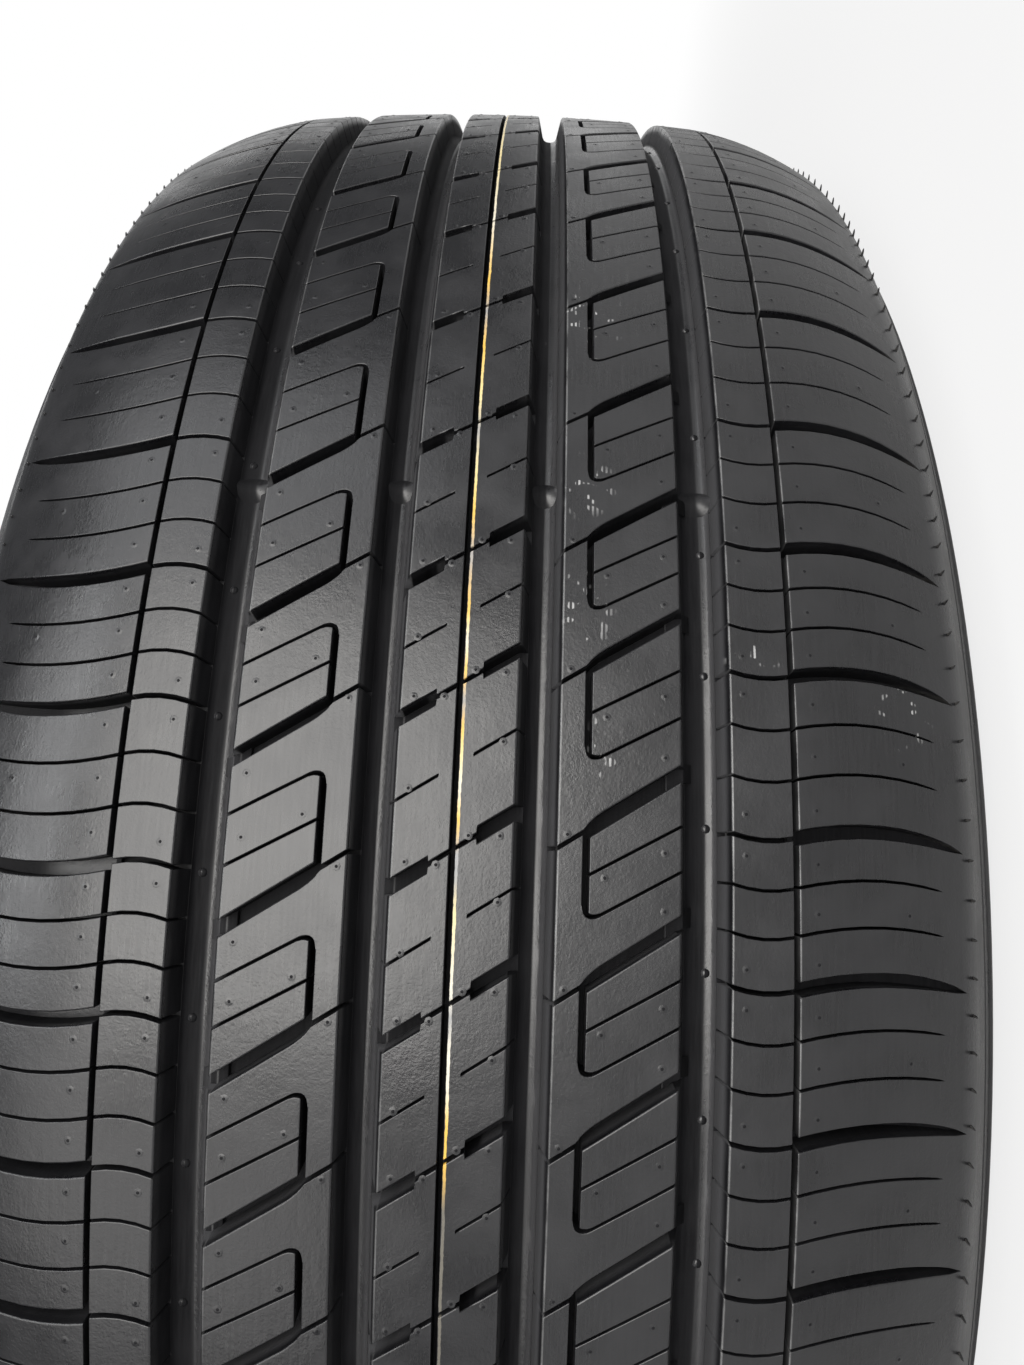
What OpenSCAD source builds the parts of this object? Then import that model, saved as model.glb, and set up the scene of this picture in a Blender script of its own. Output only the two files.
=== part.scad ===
// Car tyre lying on its sidewall: axle along +Z, origin in the middle of the wheel.
// One moulded piece: the tread's two halves are the same, turned half a turn about a
// line through the tread. All sizes in mm and degrees.

/* [Tyre] */
// Diameter over the middle of the tread
outside_d = 668; // [656:2:684]
// Diameter of the two bead seats, which is the rim's
seat_d = 462; // [452:1:468]
// Width over the sidewalls where they stand out most
section_w = 238; // [232:1:248]
// Distance between the outer faces of the two beads, which is the rim's width
bead_spread = 203; // [196:1:210]
// Width of each bead where it sits on the rim
bead_w = 18; // [15:0.5:21]
// Wall from the tread's face to the air inside, at the middle
crown_t = 15.5; // [13.5:0.5:18]
// Thickness of the sidewall where it stands out most
sidewall_t = 8; // [6:0.5:10]
// How far the rim guard rib stands out of the lower sidewall
guard_h = 2.5; // [1:0.5:4]

/* [Tread] */
// Width of the tread between its two shoulder corners
tread_w = 206; // [200:1:212]
// Radius of the tread's curve across its width
crown_rad = 750; // [600:10:1000]
// Width of the rib in the middle
centre_rib_w = 22.8; // [20:0.2:24]
// Width of the two ribs beside the middle one
mid_rib_w = 23.4; // [21:0.2:24]
// Width of the thin ribs outside the wide grooves
inner_rib_w = 12.3; // [10:0.1:14]
// Width of the two wide grooves beside the middle rib
near_groove_w = 8.1; // [7:0.1:9]
// Width of the two outer wide grooves
far_groove_w = 9.6; // [8:0.1:11]
// Depth of the wide grooves
groove_depth = 8; // [6:0.1:8.5]
// Slope of the wide grooves' walls, measured from straight down
wall_deg = 13.5; // [8:0.5:16]
// Width of the three thin grooves that run round the tyre
thin_w = 1.1; // [0.8:0.1:1.5]
// Depth of the three thin grooves that run round the tyre
thin_depth = 5; // [3:0.1:6]

/* [Blocks] */
// Angle round the tyre at which the first block begins
first_block = 30; // [0:1:59]
// Length of each block round the tyre, in one set that repeats: 0 short, 1 middling, 2 long
block_set = [0, 0, 1, 0, 1, 2, 2, 1, 2, 1, 0];
// Number of times that the set repeats
sets = 6; // [5:1:6]
// Length of a middling block against a short one
middling = 1.13; // [1.05:0.01:1.2]
// Length of a long block against a short one
long = 1.295; // [1.2:0.01:1.35]
// Angle by which one half of the tread is turned ahead of the other
half_turn = 1.54; // [1.2:0.02:1.8]

/* [Cross grooves] */
// Slope of the cross grooves against the axle
slant_deg = 32.7; // [28:0.1:36]
// Width of the wide cross grooves
slot_w = 2.7; // [2:0.1:3]
// Depth of the wide cross grooves
slot_depth = 6.5; // [4:0.1:7.5]
// Width of the slit that runs round the tyre from the corner of each L groove
slit_w = 1.3; // [1:0.1:2]
// Length of that slit as a share of its block
slit_share = 0.54; // [0.45:0.01:0.6]
// Distance from the middle of the tread to that slit
slit_at = 25; // [24:0.1:27]
// Length of the wide part of the cross grooves in the middle rib
nick_len = 7; // [5:0.1:8]
// Bow of the shoulder grooves from end to end of their chord
shoulder_bow = 1.9; // [1:0.1:2.5]
// Depth of the shoulder grooves where they reach the shoulder's corner
corner_depth = 2.5; // [1:0.1:4]
// Width of the fine cuts that carry each cross groove on to the next rib
cut_w = 0.8; // [0.6:0.05:1]

/* [Hidden] */
$fn = 180;
over = 3;

outside_r = outside_d / 2;
seat_r = seat_d / 2;

// Places across the tread, counted from its middle
near_in = centre_rib_w / 2;
near_out = near_in + near_groove_w;
far_in = near_out + mid_rib_w;
far_out = far_in + far_groove_w;
thin_at = far_out + inner_rib_w;
corner_at = tread_w / 2 - 3;

// Angles round the tyre at which the blocks begin
block_sizes = [for (s = [1 : sets], p = block_set) p == 0 ? 1 : p == 1 ? middling : long];
function sum(list, n) = n == 0 ? 0 : list[n - 1] + sum(list, n - 1);
blocks = len(block_sizes);
size_sum = sum(block_sizes, blocks);
function block_start(i) = first_block + 360 * sum(block_sizes, i) / size_sum;
function block_angle(i) = 360 * block_sizes[i] / size_sum;

// Radius of the tread's face before the shoulder
function crown_r(z) = outside_r - crown_rad + sqrt(pow(crown_rad, 2) - pow(z, 2));

// Points on an arc of radius r about [z, x], from angle a to angle b off the radius
function arc(z, x, r, a, b, n) =
    [for (i = [0 : n]) let (t = a + (b - a) * i / n) [x + r * cos(t), z + r * sin(t)]];

// Points on the curve that leaves p along u and reaches q along v, without its first point
function sweep(p, u, v, q, n) =
    [for (i = [1 : n]) let (t = i / n, s = 1 - t)
        s * s * s * p + 3 * s * s * t * (p + u) + 3 * s * t * t * (q - v) + t * t * t * q];

// The shoulder: a broad arc from the thin groove to the corner, a tight one round it,
// then a slope down to the sidewall
shoulder_rad = 110;
corner_rad = 14;
bevel_deg = 55;
shoulder_from = 8;
shoulder_to = asin(sin(shoulder_from) + (corner_at - thin_at) / shoulder_rad);
shoulder_z = thin_at - shoulder_rad * sin(shoulder_from);
shoulder_x = crown_r(thin_at) - shoulder_rad * cos(shoulder_from);
corner_z = shoulder_z + (shoulder_rad - corner_rad) * sin(shoulder_to);
corner_x = shoulder_x + (shoulder_rad - corner_rad) * cos(shoulder_to);
bevel_top = [corner_x + corner_rad * cos(bevel_deg), corner_z + corner_rad * sin(bevel_deg)];
bevel_dir = [-sin(bevel_deg), cos(bevel_deg)];

function shoulder_r(z) =
    shoulder_x + sqrt(pow(shoulder_rad, 2) - pow(z - shoulder_z, 2));

// The sidewall keeps its form in any height from the seat to the shoulder's slope: it is
// drawn in hundredths of that height
u = (bevel_top[0] - seat_r) / 100;
widest_r = seat_r + 60.9 * u;
widest = [widest_r, section_w / 2];
bead_out = bead_spread / 2;
bead_in = bead_out - bead_w;
guard_top = [seat_r + 27.4 * u, section_w / 2 - 7 + guard_h];
guard_foot = [seat_r + 20.1 * u, guard_top[1] - 1];
heel_rad = 7.1 * u;
toe = 3 * u;

// Outside of one half, from the thin groove of the shoulder to the toe of the bead
half_outside = concat(
    arc(shoulder_z, shoulder_x, shoulder_rad, shoulder_from, shoulder_to, 3),
    [for (p = arc(corner_z, corner_x, corner_rad, shoulder_to, bevel_deg, 2)) if (p[1] > corner_at + 0.5) p],
    sweep(bevel_top, 16.5 * u * bevel_dir, [-16.5 * u, 0], widest, 8),
    sweep(widest, [-16.5 * u, 0], [-9.5 * u, -5.3 * u], guard_top - [-3.7 * u, guard_h], 5),
    [guard_top, guard_foot],
    sweep(guard_foot, [-1.2 * u, -8.3 * u], [-10.6 * u, -1.2 * u], [seat_r + 9.5 * u, bead_out], 5),
    arc(bead_out - heel_rad, seat_r + heel_rad, heel_rad, 90, 180, 4),
    [[seat_r, bead_in + toe], [seat_r + toe, bead_in]]);

// Inside of one half, from the toe of the bead to the middle of the crown
inner_foot = [seat_r + 10.6 * u, bead_in + 4.1 * u];
inner_widest = [widest_r, section_w / 2 - sidewall_t];
inner_flank = inner_widest - [28 * u, 7.3 * u];
inner_shoulder = [outside_r - crown_t - 4.5, tread_w / 2 - 24];
inner_crown = [outside_r - crown_t, 0];
half_inside = concat(
    [inner_foot],
    sweep(inner_foot, [10.6 * u, 10.6 * u], [14.1 * u, 8.3 * u], inner_flank, 5),
    sweep(inner_flank, [9.5 * u, 5.3 * u], [9.5 * u, 0], inner_widest, 4),
    sweep(inner_widest, [20.1 * u, 0], [1.7, -18], inner_shoulder, 7),
    sweep(inner_shoulder, [1.9, -26], [0, -26], inner_crown, 4));

function flip(list) = [for (i = [len(list) - 1 : -1 : 0]) [list[i][0], -list[i][1]]];

// Tops of the ribs of one half, from the middle outwards
tread_steps = [near_in, near_out, far_in, far_out, thin_at];
half_tread = [for (z = tread_steps) [crown_r(z), z]];

// Section of the whole tyre, without its grooves
module section() {
    half = concat(half_tread, half_outside, half_inside);
    inside_end = len(half) - 1;
    polygon(concat(half, flip([for (i = [0 : inside_end - 1]) half[i]])));
}

// Section of a wide groove between two places across the tread
module groove_section(z_from, z_to) {
    low = crown_r((z_from + z_to) / 2) - groove_depth;
    high = outside_r + over;
    lean = tan(wall_deg);
    in_r = crown_r(z_from);
    out_r = crown_r(z_to);
    polygon([
        [low, z_from + (in_r - low) * lean], [high, z_from - (high - in_r) * lean],
        [high, z_to + (high - out_r) * lean], [low, z_to - (out_r - low) * lean]]);
}

// Section of a thin groove round the tyre
module thin_section(z) {
    translate([crown_r(z) - thin_depth, z - thin_w / 2])
        square([thin_depth + over, thin_w]);
}

module ring_grooves() {
    rotate_extrude() {
        groove_section(near_in, near_out);
        groove_section(far_in, far_out);
        thin_section(thin_at);
        thin_section(0);
        mirror([0, 1]) {
            groove_section(near_in, near_out);
            groove_section(far_in, far_out);
            thin_section(thin_at);
        }
    }
}

// Stands a flat outline of [round the tyre, along the axle] up through the tread
module cut_down(from_r, to_r) {
    translate([from_r, 0, 0])
        rotate([90, 0, 90])
            linear_extrude(to_r - from_r)
                children();
}

slope = tan(slant_deg);
slot_v = slot_w / cos(slant_deg);
cut_v = cut_w / cos(slant_deg);
top_r = outside_r + over;

// Outline of a middle rib's L groove: a slanted slot with a slit along the tyre at its
// end, and a fine cut that goes on to the next wide groove
module l_outline(slit_len) {
    out = far_in + over;
    in = near_out - over;
    slit_out = slit_at + slit_w / 2;
    slit_in = slit_at - slit_w / 2;
    function line(z) = -slope * (z - slit_at);
    polygon([
        [line(out) - slot_v / 2, out],
        [line(slit_at + 3) - slot_v / 2, slit_at + 3],
        [-slot_v * 0.4, slit_at + 0.4],
        [line(slit_in) - cut_v / 2, slit_in],
        [line(in) - cut_v / 2, in],
        [line(in) + cut_v / 2, in],
        [line(slit_in) + cut_v / 2, slit_in],
        [slit_len, slit_in],
        [slit_len, slit_out],
        [line(slit_out) + slot_v / 2, slit_out],
        [line(out) + slot_v / 2, out]]);
}

// Outline of a cross groove of the middle rib: fine in the middle, wide at both ends. Half
// of it is listed, and the rest is that half turned round.
module nick_outline() {
    step = near_in - nick_len;
    out = near_in + over;
    half = [
        [-slope * step - cut_v / 2, step], [-slope * step - slot_v / 2, step],
        [-slope * out - slot_v / 2, out], [-slope * out + slot_v / 2, out],
        [-slope * step + slot_v / 2, step], [-slope * step + cut_v / 2, step]];
    polygon(concat(half, -half));
}

// Line of a shoulder groove, which dips between the thin groove and the corner
bow_chord = 31.5;
bow_rad = (pow(bow_chord / 2, 2) + pow(shoulder_bow, 2)) / (2 * shoulder_bow);
function bow(s) =
    bow_rad - shoulder_bow - sqrt(pow(bow_rad, 2) - pow(s - bow_chord / 2, 2));

// [distance past the thin groove, half the groove's width there]
shoulder_steps = [[-0.1, slot_w / 2], [14, slot_w / 2], [26, slot_w / 2], [34, slot_w / 4]];

module shoulder_outline() {
    last = len(shoulder_steps) - 1;
    polygon(concat(
        [for (i = [0 : last]) let (p = shoulder_steps[i]) [bow(p[0]) - p[1], thin_at + p[0]]],
        [for (i = [last : -1 : 0]) let (p = shoulder_steps[i]) [bow(p[0]) + p[1], thin_at + p[0]]]));
}

// Leans a shoulder cut so that its floor follows the shoulder's fall
module lean_down() {
    top = shoulder_r(thin_at) - slot_depth;
    lean = atan((top - shoulder_r(corner_at) + corner_depth) / (corner_at - thin_at));
    translate([top, 0, thin_at])
        rotate([0, -lean, 0])
            translate([0, 0, -thin_at])
                cut_down(0, slot_depth + 14)
                    children();
}

// The cuts of one block of one half, with the block's angle
module block_cuts(angle) {
    block_len = angle * PI / 180 * outside_r;
    cut_down(crown_r(slit_at) - slot_depth, top_r) l_outline(slit_share * block_len);
    lean_down() shoulder_outline();
}

module half_cuts() {
    for (i = [0 : blocks - 1])
        rotate([0, 0, block_start(i)])
            block_cuts(block_angle(i));
}

// The other half is the same, turned half a turn about a line out through the tread
module other_half_cuts() {
    for (i = [0 : blocks - 1])
        rotate([0, 0, block_start(i + 1) + half_turn])
            rotate([180, 0, 0])
                block_cuts(block_angle(i));
}

module centre_cuts() {
    for (i = [0 : blocks - 1])
        rotate([0, 0, block_start(i) + half_turn / 2])
            cut_down(outside_r - slot_depth, top_r)
                nick_outline();
}

module tyre() {
    color([0.09, 0.09, 0.1])
        difference() {
            rotate_extrude() section();
            ring_grooves();
            half_cuts();
            other_half_cuts();
            centre_cuts();
        }
}

tyre();
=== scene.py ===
import math
import bpy
import numpy as np
from mathutils import Matrix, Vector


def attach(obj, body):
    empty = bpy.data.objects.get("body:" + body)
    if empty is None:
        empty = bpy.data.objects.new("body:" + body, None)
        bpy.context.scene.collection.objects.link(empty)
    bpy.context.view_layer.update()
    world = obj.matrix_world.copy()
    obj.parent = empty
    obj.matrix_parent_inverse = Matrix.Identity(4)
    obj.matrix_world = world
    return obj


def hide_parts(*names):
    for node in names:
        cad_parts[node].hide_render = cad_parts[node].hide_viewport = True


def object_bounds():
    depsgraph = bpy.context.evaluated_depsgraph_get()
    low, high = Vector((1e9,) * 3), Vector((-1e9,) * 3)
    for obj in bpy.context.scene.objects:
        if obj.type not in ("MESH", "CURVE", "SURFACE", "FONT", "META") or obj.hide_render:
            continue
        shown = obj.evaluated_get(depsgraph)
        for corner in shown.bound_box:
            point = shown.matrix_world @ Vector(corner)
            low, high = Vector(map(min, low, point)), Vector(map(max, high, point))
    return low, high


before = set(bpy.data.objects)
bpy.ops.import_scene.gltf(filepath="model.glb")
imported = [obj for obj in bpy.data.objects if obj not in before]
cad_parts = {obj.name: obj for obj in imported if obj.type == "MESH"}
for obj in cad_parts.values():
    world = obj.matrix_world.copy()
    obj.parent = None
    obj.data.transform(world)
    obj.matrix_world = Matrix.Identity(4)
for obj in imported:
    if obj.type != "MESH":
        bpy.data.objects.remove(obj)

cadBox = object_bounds()

# The tyre's axle is world Z. z runs across the tread, and v is the way round it, as
# millimetres on the tread's face. Lengths are millimetres unless a line says otherwise.
sizes = {
    "outsideR": 334.0,
    "crownRad": 750.0,      # curve across the tread
    "thinAt": 64.8,         # thin groove before the shoulder
    "cornerAt": 100.0,      # where the shoulder turns down
    "faceEnd": 104.8,       # last of the separate blocks
    "seatR": 231.0,
    "sectionW": 238.0,
    "beadOut": 101.5,
    "beadW": 18.0,
    "guardH": 2.5,          # rim guard rib
    "crownT": 15.5,
    "sidewallT": 8.0,
}
mm = 0.001
outsideR = sizes["outsideR"]
thinAt = sizes["thinAt"]

depths = {"groove": 8.0, "slot": 6.5, "thin": 5.0, "cornerSlot": 2.5, "wallDeg": 13.5, "fillet": 2.0}
wallTan = math.tan(math.radians(depths["wallDeg"]))


# faces of the tread
shoulderRad, cornerRad, bevelDeg = 110.0, 14.0, 55.0
shoulderFrom = math.radians(8)                   # lean where the shoulder's arc begins
crownEdge = outsideR - sizes["crownRad"] + math.sqrt(sizes["crownRad"] ** 2 - thinAt ** 2)
shoulderZ = thinAt - shoulderRad * math.sin(shoulderFrom)
shoulderX = crownEdge - shoulderRad * math.cos(shoulderFrom)
shoulderTo = math.asin(math.sin(shoulderFrom) + (sizes["cornerAt"] - thinAt) / shoulderRad)
cornerZ = shoulderZ + (shoulderRad - cornerRad) * math.sin(shoulderTo)
cornerX = shoulderX + (shoulderRad - cornerRad) * math.cos(shoulderTo)


def faceR(z):
    # radius of the tread's face: a flat arc, then the shoulder's arc, then the corner's
    crown = outsideR - sizes["crownRad"] + np.sqrt(sizes["crownRad"] ** 2 - z ** 2)
    shoulder = shoulderX + np.sqrt(np.maximum(shoulderRad ** 2 - (z - shoulderZ) ** 2, 1))
    corner = cornerX + np.sqrt(np.maximum(cornerRad ** 2 - (z - cornerZ) ** 2, 1))
    return np.where(z < thinAt, crown, np.where(z < sizes["cornerAt"], shoulder, corner))


def faceAt(z):
    return float(faceR(np.array(z)))


def floorR(z):
    # radius under the blocks: the slots' depth below the face, less and less past the thin groove
    edge = crownEdge - depths["slot"]
    low = faceAt(sizes["cornerAt"]) - depths["cornerSlot"]
    shoulder = np.interp(z, [thinAt, sizes["cornerAt"], 102.6, sizes["faceEnd"]],
                         [edge, low, low - 0.9, faceAt(sizes["faceEnd"]) - 1.3])
    return np.where(z < thinAt, faceR(z) - depths["slot"], shoulder)


# mesh helpers
def makeObject(name, co, faces, normals=None, sharpDeg=None):
    # co is in millimetres, and faces is a list of index arrays, each of one corner count
    mesh = bpy.data.meshes.new(name)
    corners = np.concatenate([f.reshape(-1) for f in faces]).astype(np.int32)
    counts = np.concatenate([np.full(len(f), f.shape[1]) for f in faces])
    starts = np.concatenate([[0], np.cumsum(counts)[:-1]]).astype(np.int32)
    mesh.vertices.add(len(co))
    mesh.vertices.foreach_set("co", (co * mm).astype(np.float32).reshape(-1))
    mesh.loops.add(len(corners))
    mesh.loops.foreach_set("vertex_index", corners)
    mesh.polygons.add(len(counts))
    mesh.polygons.foreach_set("loop_start", starts)
    mesh.update(calc_edges=True)
    mesh.shade_smooth()
    if normals is not None:
        mesh.normals_split_custom_set_from_vertices(normals.astype(np.float32))
    if sharpDeg:
        mesh.set_sharp_from_angle(angle=math.radians(sharpDeg))
    obj = bpy.data.objects.new(name, mesh)
    bpy.context.scene.collection.objects.link(obj)
    return obj


def unit(a):
    return a / np.maximum(np.linalg.norm(a, axis=-1, keepdims=True), 1e-9)


def roundTyre(r, angle, z):
    return np.stack([r * np.cos(angle), r * np.sin(angle), z], axis=-1)


# pattern
pattern = {
    "firstBlock": 30.0,     # degrees
    "blockSet": [0, 0, 1, 0, 1, 2, 2, 1, 2, 1, 0],   # short, middling and long blocks
    "sets": 6,
    "lengths": [1.0, 1.13, 1.295],
    "halfTurn": 1.54,       # degrees that one half is turned ahead of the other
    "slope": 0.642,         # mm round the tyre for each mm across it
    "wide": 1.6,            # half widths of the cuts, measured round the tyre
    "fine": 0.45,
    "sipe": 0.27,
    "slitAt": 25.0,
    "slitHalf": 0.65,
    "ease": 0.42,           # rounding of the blocks' edges
    "sipeEase": 0.2,
}
blockSize = np.array(pattern["lengths"])[np.tile(pattern["blockSet"], pattern["sets"])]
blockTurn = 2 * np.pi * blockSize / blockSize.sum()
blockFrom = math.radians(pattern["firstBlock"]) + np.concatenate([[0], np.cumsum(blockTurn)[:-1]])
pitch = (blockTurn * outsideR)[:, None]
halfTurn = math.radians(pattern["halfTurn"])
slope, wide, fine, sipe = (pattern[k] for k in ("slope", "wide", "fine", "sipe"))
ease, sipeEase = pattern["ease"], pattern["sipeEase"]
shared = 0.004                                   # rounding of an edge that meets its neighbour's
footIn = 0.3                                     # how far the blocks' feet go into the carcass


def cellNormals(zIn, lo, hi, columns, endA, endB):
    # the face's normal on the face, each wall's on that wall, and halfway on the rounded edges;
    # along v, towards the next row and outwards
    step, rowsN = 0.05, len(zIn)
    fall = (faceR(zIn + step) - faceR(zIn - step)) / (2 * step)
    up = unit(np.stack([0 * fall, -fall, 1 + 0 * fall], -1))
    rowWall = np.zeros((rowsN, 3))
    rowWall[:3] = unit(endA)
    rowWall[-3:] = unit(endB)
    rowUp, colUp = np.ones(rowsN), np.ones(columns)
    rowUp[[0, 1, -2, -1]] = 0
    colUp[[0, 1, -2, -1]] = 0
    apart = zIn + np.arange(rowsN) * 1e-7
    runLo, runHi = np.gradient(lo, apart, axis=1), np.gradient(hi, apart, axis=1)
    n = np.zeros((len(lo), rowsN, columns, 3))
    n += (np.minimum(rowUp[:, None], colUp[None])[..., None] * up[:, None, :])[None]
    n += rowWall[None, :, None, :]
    n[:, :, :3] += unit(np.stack([-np.ones_like(lo), np.clip(runLo, -3, 3), 0 * lo], -1))[:, :, None]
    n[:, :, -3:] += unit(np.stack([np.ones_like(hi), np.clip(-runHi, -3, 3), 0 * hi], -1))[:, :, None]
    return n


def cellFaces(rowsN, columns):
    # faces of one block's grid, with the three points at each lower corner made one: its
    # quads, a cap below from wall to wall, and fans that close the cap's two ends
    ids = np.arange(rowsN * columns).reshape(rowsN, columns)
    for i, j, di, dj in ((0, 0, 1, 1), (0, -1, 1, -1), (-1, 0, -1, 1), (-1, -1, -1, -1)):
        ids[i + di, j] = ids[i, j]
        ids[i, j + dj] = ids[i, j]
    quads = np.stack([ids[:-1, :-1], ids[:-1, 1:], ids[1:, 1:], ids[1:, :-1]], -1).reshape(-1, 4)
    quads = quads[[len(set(q)) == 4 for q in quads.tolist()]]
    side = [0] + list(range(2, rowsN - 2)) + [rowsN - 1]
    cap = [[ids[p, 0], ids[q, 0], ids[q, -1], ids[p, -1]] for p, q in zip(side[1:-2], side[2:-1])]
    fan = []
    for near, far, order in ((side[1], 0, 1), (side[-2], rowsN - 1, -1)):
        chain = [ids[far, 0]] + [ids[far, j] for j in range(2, columns - 2)] + [ids[far, -1]]
        hub = ids[near, 0]
        fan += [[hub, p, q][::-order] for p, q in zip(chain[:-1], chain[1:])]
        fan.append([hub, chain[-1], ids[near, -1]][::-order])
    quads = np.concatenate([quads, cap])
    used = np.unique(quads)
    renum = np.full(rowsN * columns, -1)
    renum[used] = np.arange(len(used))
    return used, renum[quads], renum[np.array(fan)]


def cells(rows, low, high, easeLow, easeHigh, ends, cols=1, sunk=0.0):
    # One block of every pitch on both halves. Each is a grid of rows across the tread and
    # columns round it: face rows between the two ends, then a rounded edge, a wall down to
    # the slots' floor, and a cap below. Depth at a point is the larger of its row's and its
    # column's. ends gives (edge rounding, tangent of the wall's lean) at both ends, and sunk
    # puts the whole face below the tread's.
    (easeA, tanA), (easeB, tanB) = ends
    rows = np.asarray(rows, float)
    a, b = rows[0], rows[-1]
    deepA, deepB = (faceAt(q) - float(floorR(np.array(q))) + footIn for q in (a, b))
    k = 1 - math.sqrt(0.5)
    z = np.concatenate([[a - deepA * tanA, a - easeA * tanA, a + k * easeA, a + easeA], rows[1:-1],
                        [b - easeB, b - k * easeB, b + easeB * tanB, b + deepB * tanB]])
    flat = np.zeros(len(rows) - 2)
    rowDepth = np.concatenate([[0, easeA, k * easeA, 0], flat, [0, k * easeB, easeB, 0]])
    zIn = np.clip(z, a, b)
    lo, hi = low(zIn[None], pitch), high(zIn[None], pitch)
    eLo, eHi = (np.broadcast_to(e(zIn) if callable(e) else e, z.shape) for e in (easeLow, easeHigh))
    inner = [(lo + eLo) * (1 - t) + (hi - eHi) * t for t in (np.arange(cols) + 1) / (cols + 1)]
    v = np.stack([lo, lo, lo + k * eLo, lo + eLo] + inner + [hi - eHi, hi - k * eHi, hi, hi], axis=-1)
    none = 0 * eLo
    colDepth = np.stack([none, eLo, k * eLo, none] + [none] * cols + [none, k * eHi, eHi, none], 1)
    r = faceR(zIn)[:, None] - sunk - np.maximum(rowDepth[:, None], colDepth)
    base = floorR(zIn) - footIn
    r[[0, -1], :] = base[[0, -1], None]
    r[:, [0, -1]] = base[:, None]
    n = cellNormals(zIn, lo, hi, v.shape[-1], np.array([0, -1, tanA]), np.array([0, 1, tanB]))
    used, quads, fan = cellFaces(len(z), v.shape[-1])
    allCo, allN, allQ, allT, at = [], [], [], [], 0
    for sign, start in ((1, blockFrom), (-1, blockFrom + blockTurn + halfTurn)):
        angle = start[:, None, None] + sign * v / outsideR
        co = roundTyre(r[None] + 0 * v, angle, sign * z[None, :, None] + 0 * v)
        cosA, sinA = np.cos(angle), np.sin(angle)
        world = np.stack([-sinA * n[..., 0] * sign + cosA * n[..., 2],
                          cosA * n[..., 0] * sign + sinA * n[..., 2], sign * n[..., 1]], -1)
        count = len(start)
        allCo.append(co.reshape(count, -1, 3)[:, used].reshape(-1, 3))
        allN.append(unit(world).reshape(count, -1, 3)[:, used].reshape(-1, 3))
        shift = at + np.arange(count)[:, None, None] * len(used)
        allQ.append((quads + shift).reshape(-1, 4))
        allT.append((fan + shift).reshape(-1, 3))
        at += count * len(used)
    return np.concatenate(allCo), np.concatenate(allN), np.concatenate(allQ), np.concatenate(allT)


def joined(name, parts):
    # one object from several (points, normals, quads, triangles)
    co, n, q, t, at = [], [], [], [], 0
    for points, normals, fourSided, threeSided in parts:
        co.append(points)
        n.append(normals)
        q.append(fourSided + at)
        t.append(threeSided + at)
        at += len(points)
    return makeObject(name, np.concatenate(co), [np.concatenate(q), np.concatenate(t)], np.concatenate(n))


def line(at, share=0.0, add=0.0):
    # a slanted line through z = at, moved round by a share of the block and by add
    return lambda z, p: -slope * (z - at) + share * p + add + 0 * p


# centre rib
centreRib = {"from": 0.55, "to": 11.4, "stepAt": 4.4, "sipeFrom": 3.2}
mid = halfTurn / 2 * outsideR                    # v of the cross groove where z is 0


def centreLine(z, p):
    return mid - slope * z + 0 * p


def nickHalf(z):
    return np.where(z < centreRib["stepAt"], fine, wide)


def shortSipe(z):
    return np.where(z < centreRib["sipeFrom"], 0.0, sipe)


def sipeEdge(z):
    return np.where(z < centreRib["sipeFrom"], shared, sipeEase)


centreRows = [centreRib["from"], 1.9, 3.15, 3.25, 4.35, 4.45, 7.9, centreRib["to"]]
centreEnds = ((0.2, 0.0), (ease, wallTan))
centreParts = [
    cells(centreRows, lambda z, p: centreLine(z, p) + nickHalf(z),
          lambda z, p: centreLine(z, p) + p / 2 - shortSipe(z), 0.3, sipeEdge, centreEnds),
    cells(centreRows, lambda z, p: centreLine(z, p) + p / 2 + shortSipe(z),
          lambda z, p: centreLine(z, p) + p - nickHalf(z), sipeEdge, 0.3, centreEnds),
]

# mid ribs
midRib = {"from": 19.5, "to": 42.9, "firstSipe": 0.305, "secondSipe": 0.61}
slitAt, slitHalf = pattern["slitAt"], pattern["slitHalf"]
slitIn, slitOut = slitAt - slitHalf, slitAt + slitHalf
slotLine = line(slitAt)


def slotLow(z):
    # half width below the slot's middle line, which rounds into the slit's inner side
    return np.interp(z, slitIn + np.array([0, 0.5, 1.3, 2.4, 3.7]), [fine, 0.72, 1.12, 1.45, wide])


def firstSipe(z, p):
    return slotLine(z, p) + p * (midRib["firstSipe"] + 0.055 * (z - slitOut) / 17.4)


def secondSipe(z, p):
    # runs parallel to the slot, then hooks down into the slit's top end
    hook = np.clip((28 - z) / 3, 0, 1) ** 2
    return slotLine(z, p) + p * (midRib["secondSipe"] + 0.05 * (z - 27) / 16) - 1.6 * hook


def hookHalf(z):
    return np.interp(z, [slitOut, slitOut + 0.8, slitOut + 2.4], [0.45, 0.36, sipe])


def slitTop(z, p):
    # round end of the slit, from its inner side up to the hooked sipe's upper edge
    top = secondSipe(slitOut + 0 * z, p) + 0.42
    rounding = np.interp(z, [slitIn, slitIn + 0.12, slitIn + 0.32, slitAt, slitOut],
                         [-2.3, -1.5, -0.85, -0.35, 0.0])
    return np.where(z <= slitOut, top + rounding, secondSipe(z, p) + hookHalf(z))


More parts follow.
